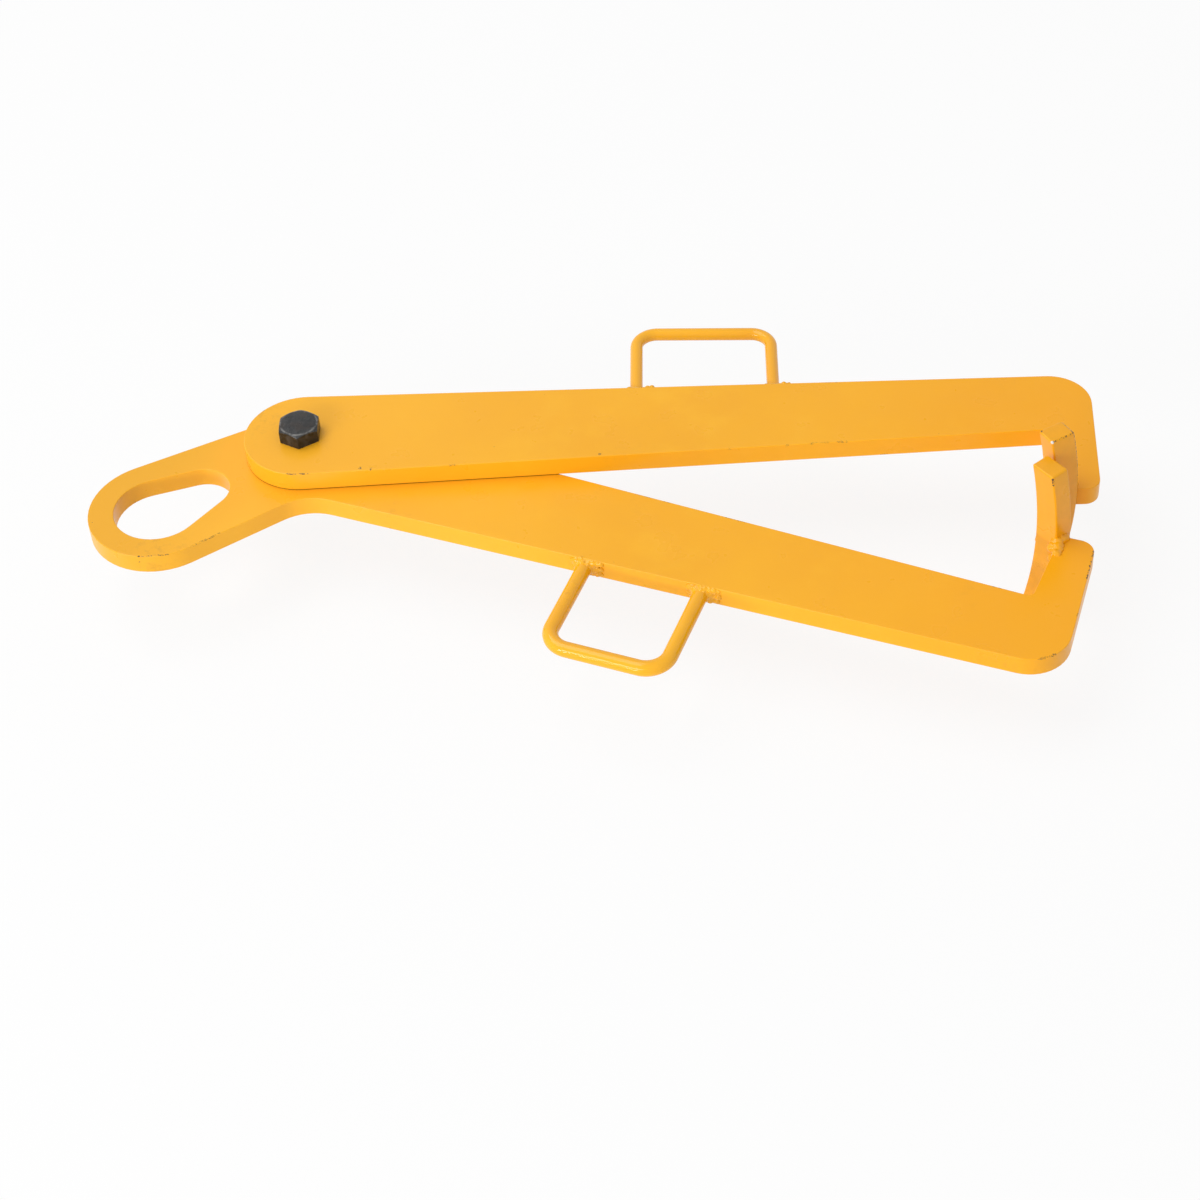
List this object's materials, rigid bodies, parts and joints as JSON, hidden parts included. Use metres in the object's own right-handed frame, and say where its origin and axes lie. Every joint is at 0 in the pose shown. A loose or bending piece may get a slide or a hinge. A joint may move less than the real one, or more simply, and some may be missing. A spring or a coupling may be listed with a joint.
{
  "type": "lifting tongs",
  "caption": "Scissor-type lifting tongs: hooked plate arms on a pivot bolt, a pear-shaped lifting eye, bowed jaw bars and welded loop hand grips.",
  "frame": {"origin": "centre of the wide end of the lifting eye's pear-shaped hole, half way through the lower arm's plate", "axes": "+X between the closed arms, along the line from the pivot to where the jaws meet; +Z square to the plates, along the pivot bolt towards its head; +Y towards the upper arm's hand grip"},
  "size_m": [0.7628, 0.3775, 0.1528],
  "materials": {
    "yellow_paint": "satin yellow-orange paint over mill-scaled steel plate, lightly scuffed",
    "black_bolt": "black oxide on steel",
    "zinc_steel": "bright zinc plate on steel",
    "nylon": "natural white nylon ring"
  },
  "bodies": {
    "eye_arm": {"lower_arm": "yellow_paint", "lower_handle": "yellow_paint", "lower_handle_weld_near": "yellow_paint", "lower_handle_weld_far": "yellow_paint", "lower_jaw": "yellow_paint", "lower_jaw_weld": "yellow_paint", "pivot_bolt": "black_bolt", "nut_washer": "zinc_steel", "lock_nut": "zinc_steel", "nut_insert": "nylon"},
    "swing_arm": {"upper_arm": "yellow_paint", "upper_handle": "yellow_paint", "upper_handle_weld_near": "yellow_paint", "upper_handle_weld_far": "yellow_paint", "upper_jaw": "yellow_paint", "upper_jaw_weld": "yellow_paint"}
  },
  "joints": [
    {"name": "arm_pivot", "type": "hinge", "parent": "eye_arm", "child": "swing_arm", "pos_m": [0.09346, 0.08012, 0], "axis": [0, 0, 1], "range_deg": [0, 90]}
  ]
}
